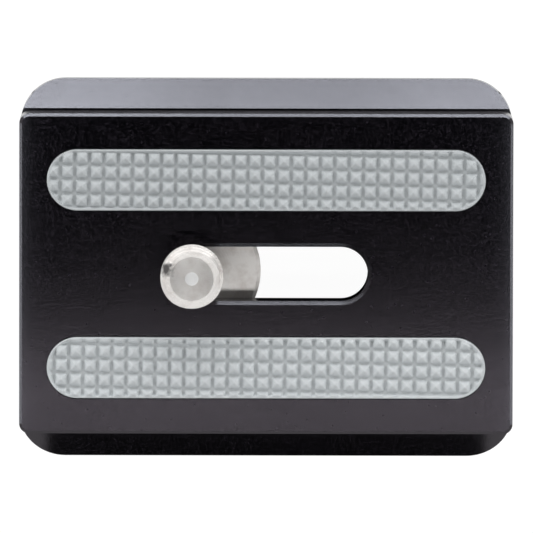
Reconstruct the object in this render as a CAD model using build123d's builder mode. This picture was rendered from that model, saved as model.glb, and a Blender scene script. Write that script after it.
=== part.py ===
"""Tripod quick release plate: an anodised dovetail plate with two inlaid grip pads and a captive camera screw.

Millimetres. +Z is up, X runs along the plate and Y across its dovetail. The origin is the middle of the base.
"""

import os
from math import ceil, radians, tan

from build123d import *

# Plate, an upright block on a dovetail rail
plate_length = 50.0
plate_height = 10.0
dovetail_width = 38.5
dovetail_angle = 45.0
lip_height = 1.6
block_width = 32.5
dovetail_corner_radius = 4.6
block_corner_radius = 1.0
top_edge_chamfer = 0.28
base_edge_chamfer = 0.3
relief_width = 0.16
relief_depth = 0.4

# Camera screw, a quarter inch thread on a thinner neck
thread_diameter = 6.35
neck_diameter = 5.2
screw_reach = 6.0
neck_reach = 0.8
tip_flat_diameter = 4.4
tip_pip_diameter = 1.3
tip_pip_height = 0.06
head_diameter = 13.4
head_height = 4.8
head_edge_chamfer = 0.3
head_sink = 0.25
coin_slot_width = 1.8
coin_slot_depth = 1.6
hex_across_flats = 4.0
hex_depth = 2.8

# Washer between the screw's head and the plate
washer_diameter = 13.9
washer_thickness = 0.8
washer_edge_chamfer = 0.15
washer_bevel_width = 0.35
washer_bevel_drop = 0.18
washer_clearance = 0.1
head_to_washer = 0.05

# Slot that the neck runs in, and the recess below it for the head
screw_travel = 15.0
slot_end_clearance = 0.05
neck_clearance = 0.15
recess_clearance = 0.45
slot_edge_chamfer = 0.38
recess_edge_chamfer = 0.4

# Grip pads, stadium strips of pyramid rubber set in pockets
pad_length = 44.4
pad_width = 6.2
pad_spacing = 19.06
pad_rise = 0.5
pocket_depth = 1.0
pad_clearance = 0.1
pad_rim_width = 0.2
pad_rim_drop = 0.15
pyramid_pitch = 1.46
pyramid_height = 0.5
pyramid_tip = 0.1
groove_floor = 0.12
groove_overshoot = 0.2

# Each strip is cut from a sheet, so its pyramids lie a little askew: skew in degrees, one groove crossing in x, y
rear_pattern = (-1.1, -0.42, -0.25)
front_pattern = (-1.0, 0.46, 0.62)

# Heights that follow from the sizes above
neck_height = lip_height + (dovetail_width - block_width) / 2 * tan(radians(dovetail_angle))
head_top = head_sink + head_height
washer_bottom = head_top + head_to_washer
recess_depth = washer_bottom + washer_thickness + washer_clearance
pocket_floor = plate_height - pocket_depth
pad_top = plate_height + pad_rise
neck_top = plate_height + neck_reach
tip_height = plate_height + screw_reach

# Widths and places that follow from the sizes above
slot_width = neck_diameter + 2 * neck_clearance
slot_centres = screw_travel + 2 * slot_end_clearance
recess_width = max(head_diameter, washer_diameter) + 2 * recess_clearance
washer_bore = slot_width
screw_x = -screw_travel / 2
pad_y = pad_spacing / 2

os.makedirs("parts", exist_ok=True)


# Plate body: a dovetail rail of one section, with a narrow relief between its flanks and the foot of the block
flank_end = neck_height - relief_width * tan(radians(dovetail_angle))
relief_floor = neck_height - relief_depth
half_rail = [
    (dovetail_width / 2, 0),
    (dovetail_width / 2, lip_height),
    (block_width / 2 + relief_width, flank_end),
    (block_width / 2 + relief_width, relief_floor),
]
other_half = [(-y, z) for y, z in reversed(half_rail)]
with BuildPart() as plate_body:
    with BuildSketch(Plane.YZ.offset(-plate_length / 2)):
        Polygon(*half_rail, *other_half, align=None)
    extrude(amount=plate_length)

    # Seen from above the rail's corners are round, and the block on it has smaller ones of its own
    with BuildSketch(Plane.XY):
        RectangleRounded(plate_length, dovetail_width, dovetail_corner_radius)
    extrude(amount=neck_height, mode=Mode.INTERSECT)
    with BuildSketch(Plane.XY.offset(relief_floor)):
        RectangleRounded(plate_length, block_width, block_corner_radius)
    extrude(amount=plate_height - relief_floor)
    chamfer(plate_body.faces().sort_by(Axis.Z)[0].edges(), base_edge_chamfer)
    chamfer(plate_body.faces().sort_by(Axis.Z)[-1].edges(), top_edge_chamfer)

    # Recess for the head and washer, open at the base
    with BuildSketch(Plane.XY):
        SlotCenterToCenter(slot_centres, recess_width)
    extrude(amount=recess_depth, mode=Mode.SUBTRACT)
    chamfer(plate_body.faces().sort_by(Axis.Z)[0].inner_wires()[0].edges(), recess_edge_chamfer)

    # Slot through the web that is left above the recess
    with BuildSketch(Plane.XY.offset(recess_depth)):
        SlotCenterToCenter(slot_centres, slot_width)
    extrude(amount=plate_height - recess_depth, mode=Mode.SUBTRACT)
    chamfer(plate_body.faces().sort_by(Axis.Z)[-1].inner_wires()[0].edges(), slot_edge_chamfer)

    # Pockets for the two grip pads
    with BuildSketch(Plane.XY.offset(pocket_floor)):
        with Locations((0, pad_y), (0, -pad_y)):
            SlotOverall(pad_length + 2 * pad_clearance, pad_width + 2 * pad_clearance)
    extrude(amount=pocket_depth, mode=Mode.SUBTRACT)

plate_body.part.label = "plate_body"
export_step(plate_body.part, "parts/plate_body.step")


def grip_pad(centre_y, pattern):
    """Stadium strip with a plain rim, inside which two crossing sets of V grooves leave rows of small pyramids."""
    skew, groove_x, groove_y = pattern
    columns = ceil(pad_length / pyramid_pitch)
    rows = ceil(pad_width / pyramid_pitch)
    half_mouth = (pyramid_pitch - pyramid_tip) / 2
    half_floor = groove_floor / 2
    field_length = pad_length - 2 * pad_rim_width
    field_width = pad_width - 2 * pad_rim_width
    crossing = Plane((groove_x, centre_y + groove_y, pad_top)).rotated((0, 0, skew))
    across_columns = Plane(crossing.origin, x_dir=crossing.x_dir, z_dir=-crossing.y_dir)
    across_rows = Plane(crossing.origin, x_dir=crossing.y_dir, z_dir=crossing.x_dir)
    with BuildPart() as pad:
        with BuildSketch(Plane.XY.offset(pocket_floor)):
            with Locations((0, centre_y)):
                SlotOverall(field_length, field_width)
        extrude(amount=pad_top - pocket_floor)
        for section, count in ((across_columns, columns), (across_rows, rows)):
            with BuildSketch(section):
                with GridLocations(pyramid_pitch, pyramid_pitch, 2 * count + 1, 1):
                    Polygon(
                        (-half_mouth, groove_overshoot),
                        (-half_mouth, 0),
                        (-half_floor, -pyramid_height),
                        (half_floor, -pyramid_height),
                        (half_mouth, 0),
                        (half_mouth, groove_overshoot),
                        align=None,
                    )
            extrude(amount=pad_length, both=True, mode=Mode.SUBTRACT)
        with BuildSketch(Plane.XY.offset(pocket_floor)):
            with Locations((0, centre_y)):
                SlotOverall(pad_length, pad_width)
                SlotOverall(field_length, field_width, mode=Mode.SUBTRACT)
        extrude(amount=pad_top - pad_rim_drop - pocket_floor)
    return pad.part


rear_grip_pad = grip_pad(pad_y, rear_pattern)
rear_grip_pad.label = "rear_grip_pad"
export_step(rear_grip_pad, "parts/rear_grip_pad.step")

front_grip_pad = grip_pad(-pad_y, front_pattern)
front_grip_pad.label = "front_grip_pad"
export_step(front_grip_pad, "parts/front_grip_pad.step")


# Washer: a flat ring on the neck, over the screw's head, with a shallow bevel round its upper face
washer_radius = washer_diameter / 2
washer_top = washer_bottom + washer_thickness
screw_section = Plane((screw_x, 0, 0), x_dir=(1, 0, 0), z_dir=(0, -1, 0))
screw_axis = Axis((screw_x, 0, 0), (0, 0, 1))
with BuildPart() as screw_washer:
    with BuildSketch(screw_section):
        Polygon(
            (washer_bore / 2, washer_bottom),
            (washer_radius - washer_edge_chamfer, washer_bottom),
            (washer_radius, washer_bottom + washer_edge_chamfer),
            (washer_radius, washer_top - washer_bevel_drop),
            (washer_radius - washer_bevel_width, washer_top),
            (washer_bore / 2, washer_top),
            align=None,
        )
    revolve(axis=screw_axis)

screw_washer.part.label = "screw_washer"
export_step(screw_washer.part, "parts/screw_washer.step")


# Camera screw: one turned piece, with a coin slot and a hex socket in the underside of its head
thread_radius = thread_diameter / 2
neck_radius = neck_diameter / 2
tip_flat_radius = tip_flat_diameter / 2
head_radius = head_diameter / 2
with BuildPart() as camera_screw:
    with BuildSketch(screw_section):
        with BuildLine():
            Polyline(
                (0, head_sink),
                (head_radius - head_edge_chamfer, head_sink),
                (head_radius, head_sink + head_edge_chamfer),
                (head_radius, head_top - head_edge_chamfer),
                (head_radius - head_edge_chamfer, head_top),
                (neck_radius, head_top),
                (neck_radius, neck_top),
                (thread_radius, neck_top + thread_radius - neck_radius),
                (thread_radius, tip_height - thread_radius + tip_flat_radius),
                (tip_flat_radius, tip_height),
                (tip_pip_diameter / 2, tip_height),
                (tip_pip_diameter / 2, tip_height + tip_pip_height),
                (0, tip_height + tip_pip_height),
                close=True,
            )
        make_face()
    revolve(axis=screw_axis)
    with BuildSketch(Plane.XY.offset(head_sink)):
        with Locations((screw_x, 0)):
            Rectangle(coin_slot_width, head_diameter + coin_slot_width)
    extrude(amount=coin_slot_depth, mode=Mode.SUBTRACT)
    with BuildSketch(Plane.XY.offset(head_sink)):
        with Locations((screw_x, 0)):
            RegularPolygon(hex_across_flats / 2, 6, major_radius=False)
    extrude(amount=hex_depth, mode=Mode.SUBTRACT)

camera_screw.part.label = "camera_screw"
export_step(camera_screw.part, "parts/camera_screw.step")
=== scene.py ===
"""Looks for a tripod quick release plate: black anodised plate, grey rubber strips and a steel screw.

Metres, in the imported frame: +X along the plate, +Y across the dovetail, +Z up. The origin is the middle
of the base.
"""

import math

import bmesh
import bpy
import numpy as np
from mathutils import Matrix, Vector


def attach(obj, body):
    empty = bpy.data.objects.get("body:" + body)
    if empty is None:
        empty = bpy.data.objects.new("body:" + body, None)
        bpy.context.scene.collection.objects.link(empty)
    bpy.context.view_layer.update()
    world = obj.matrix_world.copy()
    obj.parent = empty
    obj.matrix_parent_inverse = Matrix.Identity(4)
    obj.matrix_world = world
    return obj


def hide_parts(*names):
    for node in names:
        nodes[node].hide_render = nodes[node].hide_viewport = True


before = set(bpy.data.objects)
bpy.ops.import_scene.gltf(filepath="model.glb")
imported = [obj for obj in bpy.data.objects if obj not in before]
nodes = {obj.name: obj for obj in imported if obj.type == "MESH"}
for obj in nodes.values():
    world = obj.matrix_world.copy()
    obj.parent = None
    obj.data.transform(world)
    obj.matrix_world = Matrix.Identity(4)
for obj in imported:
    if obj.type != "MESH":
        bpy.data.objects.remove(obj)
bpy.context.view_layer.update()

MM = 0.001

# Sizes in millimetres, as in the solids
plate_top = 10.0
pocket_floor = 9.0
screw_x = -7.5
pad_length = 44.4
pad_width = 6.2
pad_y = 9.53
pad_top = 10.5
pyramid_pitch = 1.46
pyramid_tip = 0.1
thread_radius = 3.175
neck_radius = 2.6
neck_top = 10.8
tip_height = 16.0
tip_flat_radius = 2.2
pip_radius = 0.65
pip_height = 0.06

# The rubber, finer than in the solids: open valleys, steep feet under soft facets, a low thin rim
valley_depth = 0.65
valley_width = 0.25
facet_softness = 0.06
steep_share = 0.35
rim_drop = 0.3
rim_line_width = 0.1
rim_fade_width = 0.35
rim_round = 0.12

# The thread, which the solids leave plain, and where its groove comes out through the tip's cone
thread_pitch = 25.4 / 20
thread_depth = 0.687
groove_end = math.radians(160)
groove_end_radius = 2.6
groove_end_height = 15.5
thread_start = (
    screw_x + groove_end_radius * math.cos(groove_end),
    groove_end_radius * math.sin(groove_end),
    groove_end_height,
)

# Level at which the screw's head and its threaded stud meet, down in the slot
neck_cut = 8.0

# Edges of the screw that turn by more than this are shaded sharp
sharp_angle = math.radians(30)


def colour(code):
    """Linear RGBA of an sRGB hex colour."""
    srgb = np.array([int(code[i : i + 2], 16) for i in (1, 3, 5)]) / 255
    linear = np.where(srgb <= 0.04045, srgb / 12.92, ((srgb + 0.055) / 1.055) ** 2.4)
    return (*linear.tolist(), 1.0)


def add(tree, kind, inputs=None, **settings):
    """Adds a node. Settings are its own properties.

    Inputs gives each socket, by name or number, a value or the output that is linked to it.
    """
    node = tree.nodes.new(kind)
    for name, value in settings.items():
        setattr(node, name, value)
    for socket, value in (inputs or {}).items():
        if isinstance(value, bpy.types.NodeSocket):
            tree.links.new(value, node.inputs[socket])
        else:
            node.inputs[socket].default_value = value
    return node


def new_material(name):
    """An empty node material, its tree and its output node."""
    material = bpy.data.materials.new(name)
    material.use_nodes = True
    material.node_tree.nodes.clear()
    return material, material.node_tree, add(material.node_tree, "ShaderNodeOutputMaterial")


def grid_mesh(name, points):
    """Mesh of a grid of points in millimetres, rows by columns by three.

    Columns wrap round, and the doubles that a row makes at a pole are merged.
    """
    rows, columns, _ = points.shape
    index = np.arange(rows * columns).reshape(rows, columns)
    right = np.roll(index, -1, axis=1)
    quads = np.stack([index[:-1], right[:-1], right[1:], index[1:]], axis=-1).reshape(-1, 4)
    mesh = bpy.data.meshes.new(name)
    mesh.from_pydata((points.reshape(-1, 3) * MM).tolist(), [], quads.tolist())
    merged = bmesh.new()
    merged.from_mesh(mesh)
    bmesh.ops.remove_doubles(merged, verts=merged.verts, dist=1e-7)
    bmesh.ops.dissolve_degenerate(merged, edges=merged.edges, dist=1e-8)
    bmesh.ops.recalc_face_normals(merged, faces=merged.faces)
    merged.to_mesh(mesh)
    merged.free()
    mesh.polygons.foreach_set("use_smooth", np.ones(len(mesh.polygons), bool))
    piece = bpy.data.objects.new(name, mesh)
    bpy.context.scene.collection.objects.link(piece)
    return piece


def pyramids(x, y, pattern):
    """Height of the moulded pyramids above their valleys.

    In axes turned by the sheet's skew, the distance to the nearest valley of each set is a triangle wave.
    The smaller of the two, softened over a few hundredths of a millimetre, gives the climb from valley to
    tip, from nought to one. A share of the height rises steeply at the foot, as one less the fourth power
    of what is left to climb. The rest rises evenly.
    """
    skew, valley_x, valley_y = pattern
    turn = math.radians(skew)
    along = (x - valley_x) * math.cos(turn) + (y - valley_y) * math.sin(turn)
    across = (y - valley_y) * math.cos(turn) - (x - valley_x) * math.sin(turn)
    to_valley = [np.abs((d / pyramid_pitch + 0.5) % 1 - 0.5) * pyramid_pitch for d in (along, across)]
    nearest = -facet_softness * np.log(sum(np.exp(-d / facet_softness) for d in to_valley))
    half_valley = valley_width / 2
    half_mouth = (pyramid_pitch - pyramid_tip) / 2
    climb = np.clip((nearest - half_valley) / (half_mouth - half_valley), 0, 1)
    foot = 1 - (1 - climb) ** 4
    return valley_depth * (steep_share * foot + (1 - steep_share) * climb)


def grip_pad(name, centre_y, pattern):
    """Rubber strip: a profile carried round a stadium, from the spine to the rim and down the wall.

    A column of the grid starts at its spine point and runs outwards along the outline's normal. The top is
    level along a thin rim line, and further in it passes smoothly into the pyramids' height. The outer edge
    is a quarter round. Below the wall the column runs back to the spine along the pocket's floor.
    """
    grid_step = 0.07
    round_steps = 6
    wall_row_drop = 0.2
    radius = pad_width / 2
    half_straight = (pad_length - pad_width) / 2
    straight_steps = int(2 * half_straight / grid_step)
    straight = np.linspace(-half_straight, half_straight, straight_steps, endpoint=False)
    turn = np.linspace(0, np.pi, int(np.pi * radius / grid_step), endpoint=False)
    ends = np.full_like(turn, half_straight)
    spine_x = np.concatenate([ends, -straight, -ends, straight])
    quarter_turn = np.full_like(straight, np.pi / 2)
    normal = np.concatenate([turn - np.pi / 2, quarter_turn, turn + np.pi / 2, -quarter_turn])

    # The profile, as a distance out from the spine and a level
    rim_top = pad_top - rim_drop
    round_start = radius - rim_round
    field = np.linspace(0, round_start, int(radius / grid_step))
    quarter = np.linspace(0, np.pi / 2, round_steps + 1)[1:]
    out = np.concatenate([field, round_start + rim_round * np.sin(quarter), [radius, radius, 0]])
    field_level = np.full_like(field, rim_top)
    edge_level = rim_top - rim_round + rim_round * np.cos(quarter)
    wall_level = [plate_top - wall_row_drop, pocket_floor, pocket_floor]
    level = np.concatenate([field_level, edge_level, wall_level])

    # The pyramids come in from the rim line inwards, as a smooth step
    x = spine_x + out[:, None] * np.cos(normal)
    y = out[:, None] * np.sin(normal)
    inset = (radius - out)[:, None] - rim_line_width
    inside = np.clip(inset / rim_fade_width, 0, 1)
    inside = inside * inside * (3 - 2 * inside)
    inside[len(field):] = 0
    relief = pad_top - valley_depth + pyramids(x, y, pattern) - rim_top
    z = level[:, None] + inside * relief
    return grid_mesh(name, np.stack([x, centre_y + y, z], axis=-1))


def screw_stud(name, bottom):
    """Neck, quarter inch thread and turned tip of the screw, as a radius over angle and height.

    The thread is a sixty degree groove on a right-handed helix that comes out through the tip's cone.
    Going clockwise from there, seen from above, its height falls by one pitch a turn, and it runs in from
    no depth over the first twentieth of a turn. Forty-five degree cones limit the radius at both ends. The
    rows close over the flat tip and its small parting pip.
    """
    angle_steps = 180
    neck_rows = 8
    thread_rows = 180
    run_in = 0.047
    half_root = thread_pitch / 8
    flank_slope = math.sqrt(3)
    angle = np.linspace(0, 2 * np.pi, angle_steps, endpoint=False)
    neck_heights = np.linspace(bottom, neck_top, neck_rows, endpoint=False)
    height = np.concatenate([neck_heights, np.linspace(neck_top, tip_height, thread_rows)])

    # Depth of the groove, from the distance along the axis to the nearest turn of the helix
    turned = ((groove_end - angle) / (2 * np.pi)) % 1
    first_groove = groove_end_height - thread_pitch * turned
    lower_turn = np.maximum(np.round((first_groove - height[:, None]) / thread_pitch), 0)
    to_groove = np.abs(height[:, None] - first_groove + thread_pitch * lower_turn)
    depth = np.clip(thread_depth - (to_groove - half_root) * flank_slope, 0, thread_depth)
    depth = depth * np.clip((turned + lower_turn) / run_in, 0, 1)

    # Cones at both ends, and the plain neck
    lower_cone = neck_radius + np.maximum(height - neck_top, 0)
    tip_cone = tip_flat_radius + (tip_height - height)
    radius = np.minimum(thread_radius - depth, np.minimum(lower_cone, tip_cone)[:, None])
    radius[height <= neck_top] = neck_radius

    # Rows in across the tip's face, up over the pip to the axis
    pip_bevel = 0.05
    face_radius = np.array([1.9, 1.5, 1.1, 0.8, pip_radius, pip_radius - pip_bevel, 0.3, 0.0])
    face_height = tip_height + np.where(face_radius < pip_radius, pip_height, 0.0)
    face_rows = np.repeat(face_radius[:, None], angle_steps, 1)
    radius = np.concatenate([np.zeros((1, angle_steps)), radius, face_rows])
    height = np.concatenate([[bottom], height, face_height])
    x = screw_x + radius * np.cos(angle)
    y = radius * np.sin(angle)
    z = np.repeat(height[:, None], angle_steps, 1)
    piece = grid_mesh(name, np.stack([x, y, z], axis=-1))
    piece.data.set_sharp_from_angle(angle=sharp_angle)
    return piece


def screw_head(name, cut):
    """Merged copy of the solid screw's mesh below a level cut, capped, with coin slot and hex socket."""
    mesh = nodes["camera_screw"].data.copy()
    mesh.name = name
    mesh.materials.clear()
    merged = bmesh.new()
    merged.from_mesh(mesh)
    bmesh.ops.remove_doubles(merged, verts=merged.verts, dist=1e-6)
    whole = merged.verts[:] + merged.edges[:] + merged.faces[:]
    level = (0, 0, cut * MM)
    up = (0, 0, 1)
    sliced = bmesh.ops.bisect_plane(merged, geom=whole, plane_co=level, plane_no=up, clear_outer=True)
    rim = [e for e in sliced["geom_cut"] if isinstance(e, bmesh.types.BMEdge)]
    bmesh.ops.contextual_create(merged, geom=rim)
    bmesh.ops.recalc_face_normals(merged, faces=merged.faces)
    merged.to_mesh(mesh)
    merged.free()
    mesh.set_sharp_from_angle(angle=sharp_angle)
    piece = bpy.data.objects.new(name, mesh)
    bpy.context.scene.collection.objects.link(piece)
    return piece


def anodised_aluminium():
    """Blasted, black anodised aluminium: near black with a violet cast, a satin gloss and a fine grain."""
    material, tree, output = new_material("blasted_black_anodised_aluminium")
    place = add(tree, "ShaderNodeTexCoord").outputs["Object"]

    # Blasting leaves pits under 0.1 mm, drawn larger so that they show, as paler grains and a slight tilt
    pit_size = 0.15 * MM
    pit_depth = 0.008 * MM
    rarity = 4.0
    grain = add(tree, "ShaderNodeTexNoise", {"Vector": place, "Scale": 1 / pit_size, "Detail": 1.0})
    pits = add(tree, "ShaderNodeTexVoronoi", {"Vector": place, "Scale": 1 / pit_size})
    chance = add(tree, "ShaderNodeSeparateColor", {"Color": pits.outputs["Color"]}).outputs["Red"]
    specks = add(tree, "ShaderNodeMath", {0: chance, 1: rarity}, operation="POWER")
    tone = add(
        tree,
        "ShaderNodeMix",
        {"Factor": specks.outputs[0], "A": colour("#010102"), "B": colour("#1b181d")},
        data_type="RGBA",
    )

    # The gloss varies a little, in patches some millimetres across
    patch_size = 6 * MM
    patches = add(tree, "ShaderNodeTexNoise", {"Vector": place, "Scale": 1 / patch_size, "Detail": 2.0})
    sheen = add(
        tree,
        "ShaderNodeMapRange",
        {
            "Value": patches.outputs["Fac"],
            "From Min": 0.3,
            "From Max": 0.7,
            "To Min": 0.19,
            "To Max": 0.205,
        },
    )
    bump = add(
        tree,
        "ShaderNodeBump",
        {"Height": grain.outputs["Fac"], "Strength": 1.0, "Distance": pit_depth},
    )
    shader = add(
        tree,
        "ShaderNodeBsdfPrincipled",
        {
            "Base Color": tone.outputs["Result"],
            "Roughness": sheen.outputs["Result"],
            "IOR": 1.44,
            "Specular Tint": colour("#fcf0ff"),
            "Normal": bump.outputs["Normal"],
        },
    )
    tree.links.new(shader.outputs["BSDF"], output.inputs["Surface"])
    return material


def grip_rubber(name, darker, lighter):
    """Moulded grey silicone rubber: matt, faintly cool, with a powdery skin and a trace of dust."""
    material, tree, output = new_material(name)
    place = add(tree, "ShaderNodeTexCoord").outputs["Object"]
    dust_size = 2.2 * MM
    skin_grain = 0.12 * MM
    skin_depth = 0.01 * MM
    tone = add(
        tree,
        "ShaderNodeTexNoise",
        {"Vector": place, "Scale": 1 / dust_size, "Detail": 4.0, "Roughness": 0.6},
    )
    blend = add(
        tree,
        "ShaderNodeMix",
        {"Factor": tone.outputs["Fac"], "A": colour(darker), "B": colour(lighter)},
        data_type="RGBA",
    )
    skin = add(tree, "ShaderNodeTexNoise", {"Vector": place, "Scale": 1 / skin_grain, "Detail": 2.0})
    bump = add(
        tree,
        "ShaderNodeBump",
        {"Height": skin.outputs["Fac"], "Strength": 0.2, "Distance": skin_depth},
    )
    shader = add(
        tree,
        "ShaderNodeBsdfPrincipled",
        {
            "Base Color": blend.outputs["Result"],
            "Roughness": 0.6,
            "IOR": 1.42,
            "Normal": bump.outputs["Normal"],
        },
    )
    tree.links.new(shader.outputs["BSDF"], output.inputs["Surface"])
    return material


def turned_steel(name, cones, flats, drawn_out):
    """Turned stainless steel: fine rings left by the tool, which draw the light out across them.

    Its roughness is given for cones and for flats, and drawn_out is how far the rings stretch what it
    mirrors.
    """
    material, tree, output = new_material(name)
    place = add(tree, "ShaderNodeTexCoord").outputs["Object"]
    centred = add(
        tree,
        "ShaderNodeMapping",
        {"Vector": place, "Location": (-screw_x * MM, 0, 0), "Scale": (1, 1, 0.0)},
    )

    # Feed marks are about 0.05 mm apart, drawn coarser so that they show
    ring_pitch = 0.26 * MM
    ring_depth = 0.01 * MM
    unit_ring_pitch = math.pi / 10
    rings = add(
        tree,
        "ShaderNodeTexWave",
        {
            "Vector": centred.outputs["Vector"],
            "Scale": unit_ring_pitch / ring_pitch,
            "Distortion": 1.5,
            "Detail": 2.0,
            "Detail Scale": 0.6,
        },
        wave_type="RINGS",
        rings_direction="Z",
    )
    bump = add(
        tree,
        "ShaderNodeBump",
        {"Height": rings.outputs["Fac"], "Strength": 0.3, "Distance": ring_depth},
    )

    # Faced flats are coarser than turned cones, and the parting pip at the middle of the tip is torn off
    torn_edge = 0.06
    torn_roughness = 0.6
    normal = add(tree, "ShaderNodeNewGeometry").outputs["Normal"]
    upright = add(tree, "ShaderNodeSeparateXYZ", {0: normal}).outputs["Z"]
    faced = add(
        tree,
        "ShaderNodeMapRange",
        {"Value": upright, "From Min": 0.9, "From Max": 0.98, "To Min": cones, "To Max": flats},
    )
    from_axis = add(tree, "ShaderNodeVectorMath", {0: centred.outputs["Vector"]}, operation="LENGTH")
    torn = add(
        tree,
        "ShaderNodeMapRange",
        {
            "Value": from_axis.outputs["Value"],
            "From Min": pip_radius * MM,
            "From Max": (pip_radius + torn_edge) * MM,
            "To Min": 1.0,
            "To Max": 0.0,
        },
    )
    finish = add(
        tree,
        "ShaderNodeMix",
        {"Factor": torn.outputs["Result"], "A": faced.outputs["Result"], "B": torn_roughness},
    )

    # Painted shade where the thread's groove comes out through the tip's cone: a dark patch, ragged over
    # half a millimetre
    shade_edge_grain = 0.5 * MM
    raggedness = 0.9 * MM
    shade_centre = [v * MM for v in thread_start]
    from_start = add(tree, "ShaderNodeVectorMath", {0: place, 1: shade_centre}, operation="DISTANCE")
    ragged = add(tree, "ShaderNodeTexNoise", {"Vector": place, "Scale": 1 / shade_edge_grain, "Detail": 2.0})
    edge = add(
        tree,
        "ShaderNodeMath",
        {0: ragged.outputs["Fac"], 1: raggedness, 2: from_start.outputs["Value"]},
        operation="MULTIPLY_ADD",
    )
    painted_thread_shade = add(
        tree,
        "ShaderNodeMapRange",
        {
            "Value": edge.outputs[0],
            "From Min": 0.82 * MM,
            "From Max": 1.36 * MM,
            "To Min": 0.9,
            "To Max": 0.0,
        },
    )

    # Handling leaves faint brown smudges a millimetre or two across
    smudge_size = 1.6 * MM
    handled = add(
        tree,
        "ShaderNodeTexNoise",
        {"Vector": place, "Scale": 1 / smudge_size, "Detail": 5.0, "Roughness": 0.65},
    )
    smudge = add(
        tree,
        "ShaderNodeMapRange",
        {"Value": handled.outputs["Fac"], "From Min": 0.45, "From Max": 0.7, "To Min": 0.0, "To Max": 0.5},
    )
    metal = add(
        tree,
        "ShaderNodeMix",
        {"Factor": smudge.outputs["Result"], "A": colour("#e3e0dd"), "B": colour("#b8afa9")},
        data_type="RGBA",
    )
    # The torn pip is coloured white, a painted highlight for the light its torn facets catch
    bright = add(
        tree,
        "ShaderNodeMix",
        {"Factor": torn.outputs["Result"], "A": metal.outputs["Result"], "B": colour("#ffffff")},
        data_type="RGBA",
    )
    # There the steel is darkened to the painted shade
    tone = add(
        tree,
        "ShaderNodeMix",
        {"Factor": painted_thread_shade.outputs["Result"], "A": bright.outputs["Result"], "B": colour("#343233")},
        data_type="RGBA",
    )
    axis = add(tree, "ShaderNodeTangent", direction_type="RADIAL", axis="Z")
    shader = add(
        tree,
        "ShaderNodeBsdfPrincipled",
        {
            "Base Color": tone.outputs["Result"],
            "Metallic": 1.0,
            "Roughness": finish.outputs["Result"],
            "Anisotropic": drawn_out,
            "Anisotropic Rotation": 0.25,
            "Tangent": axis.outputs["Tangent"],
            "Normal": bump.outputs["Normal"],
        },
    )
    tree.links.new(shader.outputs["BSDF"], output.inputs["Surface"])
    return material


def wear(piece, material):
    """Gives a piece one material all over."""
    piece.data.materials.clear()
    piece.data.materials.append(material)


def facing(position, target, up):
    """World matrix at a position, looking at a target along its own -Z, with the given up direction."""
    back = (Vector(position) - Vector(target)).normalized()
    right = Vector(up).cross(back).normalized()
    turned = Matrix((right, back.cross(right), back)).transposed().to_4x4()
    return Matrix.Translation(Vector(position)) @ turned


def kept_to(name, pieces):
    """Collection of the pieces that a lamp is kept to."""
    group = bpy.data.collections.new(name)
    for piece in pieces:
        group.objects.link(piece)
    return group


def softbox(name, position, target, size, radiance, tint="#ffffff", lit=None, grid=None):
    """Rectangular area lamp of a given surface brightness, unseen by the camera.

    It may be kept to some pieces. A grid keeps its light within that many degrees of straight ahead. Its
    power then goes down by as much as the narrower spread would brighten it, so that seen straight on it
    is as bright as without.
    """
    lamp = bpy.data.lights.new(name, "AREA")
    lamp.shape = "RECTANGLE"
    lamp.size, lamp.size_y = size
    lamp.energy = radiance * math.pi * size[0] * size[1]
    if grid:
        half_spread = math.radians(grid)
        lamp.spread = 2 * half_spread
        lamp.energy *= 1 - half_spread / math.tan(half_spread)
    lamp.color = colour(tint)[:3]
    holder = bpy.data.objects.new(name, lamp)
    nearly_upright = (0, 0.1, 1)
    holder.matrix_world = facing(position, target, nearly_upright)
    holder.visible_camera = False
    holder.light_linking.receiver_collection = lit
    bpy.context.scene.collection.objects.link(holder)
    return holder


def flat_stage(name, corners, material):
    """Flat four-cornered card or floor that isn't part of the object."""
    mesh = bpy.data.meshes.new(name)
    mesh.from_pydata(corners, [], [(0, 1, 2, 3)])
    mesh.materials.append(material)
    card = bpy.data.objects.new(name, mesh)
    bpy.context.scene.collection.objects.link(card)
    return card


def level_corners(half_length, front, rear, height):
    """Corners of a level rectangle centred on x, from its front edge to its rear edge."""
    return [
        (-half_length, front, height),
        (half_length, front, height),
        (half_length, rear, height),
        (-half_length, rear, height),
    ]


def upright_corners(half_length, y, height):
    """Corners of an upright rectangle centred on x that stands on the floor."""
    return [(-half_length, y, 0), (half_length, y, 0), (half_length, y, height), (-half_length, y, height)]


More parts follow.
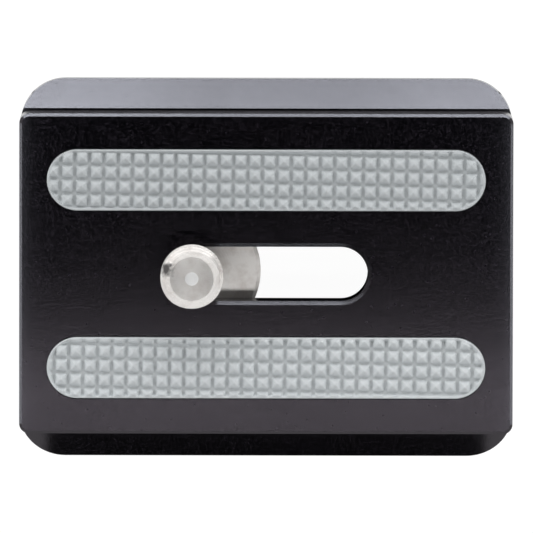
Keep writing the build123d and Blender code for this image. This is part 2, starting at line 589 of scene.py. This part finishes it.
def white_floor():
    """White paper that bounces light as paper does.

    The camera and mirrors see it white, with a faint shadow close to the object.
    """
    material, tree, output = new_material("white_paper")
    path = add(tree, "ShaderNodeLightPath").outputs
    place = add(tree, "ShaderNodeTexCoord").outputs["Object"]
    from_middle = add(tree, "ShaderNodeVectorMath", {0: place}, operation="LENGTH")
    shadow_fades = 0.05
    shadow_ends = 0.13
    near = add(
        tree,
        "ShaderNodeMapRange",
        {
            "Value": from_middle.outputs["Value"],
            "From Min": shadow_fades,
            "From Max": shadow_ends,
            "To Min": 0.0,
            "To Max": 1.0,
        },
        interpolation_type="SMOOTHSTEP",
    )
    paper = add(tree, "ShaderNodeBsdfDiffuse", {"Color": colour("#e8e8e8")})
    glow = add(tree, "ShaderNodeEmission", {"Color": colour("#fbfbfb"), "Strength": 1.0})
    faint = add(tree, "ShaderNodeBsdfDiffuse", {"Color": colour("#5f5f5f")})
    shaded = add(tree, "ShaderNodeAddShader", {0: glow.outputs[0], 1: faint.outputs[0]})
    white = add(tree, "ShaderNodeEmission", {"Strength": 1.0})
    seen = add(
        tree,
        "ShaderNodeMixShader",
        {0: near.outputs["Result"], 1: shaded.outputs[0], 2: white.outputs[0]},
    )
    mirror = add(
        tree,
        "ShaderNodeMath",
        {0: path["Is Glossy Ray"], 1: path["Is Transmission Ray"]},
        operation="MAXIMUM",
    )
    direct = add(
        tree,
        "ShaderNodeMath",
        {0: path["Is Camera Ray"], 1: mirror.outputs[0]},
        operation="MAXIMUM",
    )
    surface = add(
        tree,
        "ShaderNodeMixShader",
        {0: direct.outputs[0], 1: paper.outputs[0], 2: seen.outputs[0]},
    )
    tree.links.new(surface.outputs[0], output.inputs["Surface"])
    return material


def matt_card(name, tone):
    """Matt card of one tone."""
    material, tree, output = new_material(name)
    shader = add(tree, "ShaderNodeBsdfDiffuse", {"Color": colour(tone)})
    tree.links.new(shader.outputs[0], output.inputs["Surface"])
    return material


# Plate and washer keep the solids' meshes
wear(nodes["plate_body"], anodised_aluminium())
wear(nodes["screw_washer"], turned_steel("faced_stainless_steel", cones=0.5, flats=0.5, drawn_out=0.2))

# Each strip is cut from a sheet of its own: skew in degrees and one crossing of valleys in x, y
grey_rubber = grip_rubber("moulded_grey_rubber", "#b4b9bb", "#c2c6c8")
# The front strip wears the same rubber in paler tones: painted light, for its brighter look
rubber_painted_lighter = grip_rubber("moulded_grey_rubber_painted_lighter", "#c0c5c7", "#ced2d4")
pad_sheets = [
    ("rear_grip_pad", 1, (-1.1, -0.42, -0.25), grey_rubber),
    ("front_grip_pad", -1, (-1.0, 0.46, 0.62), rubber_painted_lighter),
]
for pad_node, side, sheet_cut, rubber in pad_sheets:
    strip = grip_pad(pad_node + "_rubber", side * pad_y, sheet_cut)
    wear(strip, rubber)
    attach(strip, "plate")
    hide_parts(pad_node)

# Screw, as a head and a threaded stud
screw_pieces = [screw_head("screw_head_turned", neck_cut), screw_stud("screw_stud_threaded", neck_cut)]
screw_steel = turned_steel("turned_stainless_steel", cones=0.22, flats=0.38, drawn_out=0.8)
for part in screw_pieces:
    wear(part, screw_steel)
    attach(part, "screw")
    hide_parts("camera_screw")

# Camera: far off above the plate, leaning nearly five degrees to its rear side, as in the photo
tilt = math.radians(4.8)
roll = math.radians(0.12)
camera_distance = 1500.0
frame_width = 53.95
sensor_width = 36.0
aim_x = 0.04
aim_rise = 0.776
toward_camera = Vector((0, math.sin(tilt), math.cos(tilt)))
picture_up = Vector((-math.sin(roll), math.cos(tilt) * math.cos(roll), -math.sin(tilt) * math.cos(roll)))
aim = Vector((aim_x, 0, plate_top)) + picture_up * aim_rise
lens_data = bpy.data.cameras.new("camera")
lens_data.sensor_width = sensor_width
lens_data.lens = sensor_width * camera_distance / frame_width
lens_data.clip_start = 0.1
lens_data.clip_end = 10.0
camera = bpy.data.objects.new("camera", lens_data)
camera.matrix_world = facing((aim + toward_camera * camera_distance) * MM, aim * MM, picture_up)
bpy.context.scene.collection.objects.link(camera)
bpy.context.scene.camera = camera

# Floor, and cards that only mirrors see, as painted reflections: grey ones before the front flank, a black
# one under the plate as painted shade there
floor_reach = 1.5
card_half_length = 0.0225
card_front = -0.027
card_rear = -0.0195
card_lift = 0.0002
card_height = 0.0052
under_half_length = 0.024
under_half_width = 0.018
under_lift = 0.0001
flat_stage("floor", level_corners(floor_reach, -floor_reach, floor_reach, 0), white_floor())
black_shade_card = matt_card("black_shade_card", "#050505")
grey_card = matt_card("grey_card", "#484848")
front_level = level_corners(card_half_length, card_front, card_rear, card_lift)
front_upright = upright_corners(card_half_length, card_front, card_height)
under_plate = level_corners(under_half_length, -under_half_width, under_half_width, under_lift)
mirror_cards = [
    flat_stage("front_floor_card", front_level, grey_card),
    flat_stage("front_upright_card", front_upright, grey_card),
    flat_stage("under_plate_card", under_plate, black_shade_card),
]
for card in mirror_cards:
    card.visible_camera = False
    card.visible_shadow = False
    card.visible_diffuse = False

# A narrow strip overhead, and keys that rake the rubber from three sides, which mirrors don't see
softbox("overhead_strip", (0, -0.0225, 0.1055), (0, -0.01, 0.01), (0.18, 0.005), 7.1)
keys = [
    softbox("rear_key", (0, 0.35, 0.21), (0, 0, 0.01), (1.2, 0.2), 2.0),
    softbox("left_key", (-0.35, 0, 0.14), (0, 0, 0.01), (0.4, 0.2), 1.6),
    softbox("right_key", (0.35, 0, 0.14), (0, 0, 0.01), (0.4, 0.2), 1.6),
]
for key in keys:
    key.visible_glossy = False

# Low panels and strips for the plate alone: its rear flank, the edges of its slot and its two ends
plate_only = kept_to("plate_only", [nodes["plate_body"]])
cool = "#f1ffff"
panel_level = 0.013
panel_height = 0.013
rear_panels = [
    ("rear_panel", 0, 0.12, 0.3, 13.6),
    ("rear_panel_left", -0.061, 0.118, 0.098, 4.8),
    ("rear_panel_right", 0.063, 0.116, 0.098, 3.0),
]
for name, middle, behind, width, radiance in rear_panels:
    place = (middle, behind, panel_level)
    target = (middle, 0, panel_level)
    softbox(name, place, target, (width, panel_height), radiance, cool, plate_only)

strip_out = 0.0192
strip_level = 0.01275
strip_size = (0.06, 0.0035)
strip_grid = 13
edge_strips = [("rear_edge_strip", strip_out, 9.0), ("front_edge_strip", -strip_out, 36.0)]
for name, y, radiance in edge_strips:
    place = (0, y, strip_level)
    target = (0, 0, strip_level)
    softbox(name, place, target, strip_size, radiance, cool, plate_only, strip_grid)

end_panel_out = 0.035
end_panel_level = 0.0205
edge_panel_out = 0.1
edge_panel_y = -0.006
edge_panel_level = 0.0065
for side, end in (("left", -1), ("right", 1)):
    place = (end * end_panel_out, 0, end_panel_level)
    target = (end * end_panel_out, 0, 0)
    softbox(side + "_end_panel", place, target, (0.02, 0.06), 1.5, cool, plate_only)
    place = (end * edge_panel_out, edge_panel_y, edge_panel_level)
    target = (0, edge_panel_y, edge_panel_level)
    softbox(side + "_edge_panel", place, target, (0.044, 0.007), 6.0, cool, plate_only)

# For the washer down in the slot a steep strip and a panel for its bevel, for the screw two soft panels
screw_only = kept_to("screw_only", screw_pieces)
washer_only = kept_to("washer_only", [nodes["screw_washer"]])
softbox("washer_strip", (0, -0.034, 0.13), (0, 0, 0.006), (0.1, 0.006), 9.9, lit=washer_only)
softbox("washer_end_panel", (0.048, 0, 0.041), (-0.0005, 0, 0.006), (0.04, 0.03), 1.0, lit=washer_only)
tip = (screw_x * MM, 0, tip_height * MM)
softbox("screw_rear", (0, 0.2, 0.2), tip, (0.5, 0.2), 0.66, lit=screw_only)
softbox("screw_front", (0, -0.16, 0.24), tip, (0.24, 0.12), 1.2, lit=screw_only)

# Room that is white round the sides and dark overhead, and a white backdrop for the camera
world = bpy.data.worlds.new("studio")
bpy.context.scene.world = world
world.use_nodes = True
world.node_tree.nodes.clear()
direction = add(world.node_tree, "ShaderNodeTexCoord").outputs["Generated"]
upward = add(world.node_tree, "ShaderNodeSeparateXYZ", {0: direction}).outputs["Z"]
ramp = add(world.node_tree, "ShaderNodeValToRGB", {"Fac": upward})
ramp.color_ramp.elements[0].position = 0.0
ramp.color_ramp.elements[0].color = (1, 1, 1, 1)
ramp.color_ramp.elements[1].position = 1.0
ramp.color_ramp.elements[1].color = (0.02, 0.02, 0.02, 1)
for rise, light in ((0.55, 0.95), (0.68, 0.12), (0.8, 0.02)):
    ramp.color_ramp.elements.new(rise).color = (light, light, light, 1)
room = add(world.node_tree, "ShaderNodeBackground", {"Color": ramp.outputs["Color"], "Strength": 1.05})
backdrop = add(world.node_tree, "ShaderNodeBackground", {"Color": (1, 1, 1, 1), "Strength": 1.0})
by_camera = add(world.node_tree, "ShaderNodeLightPath").outputs["Is Camera Ray"]
views = {0: by_camera, 1: room.outputs[0], 2: backdrop.outputs[0]}
sky = add(world.node_tree, "ShaderNodeMixShader", views)
add(world.node_tree, "ShaderNodeOutputWorld", {"Surface": sky.outputs[0]})

bpy.context.scene.view_settings.view_transform = "Standard"
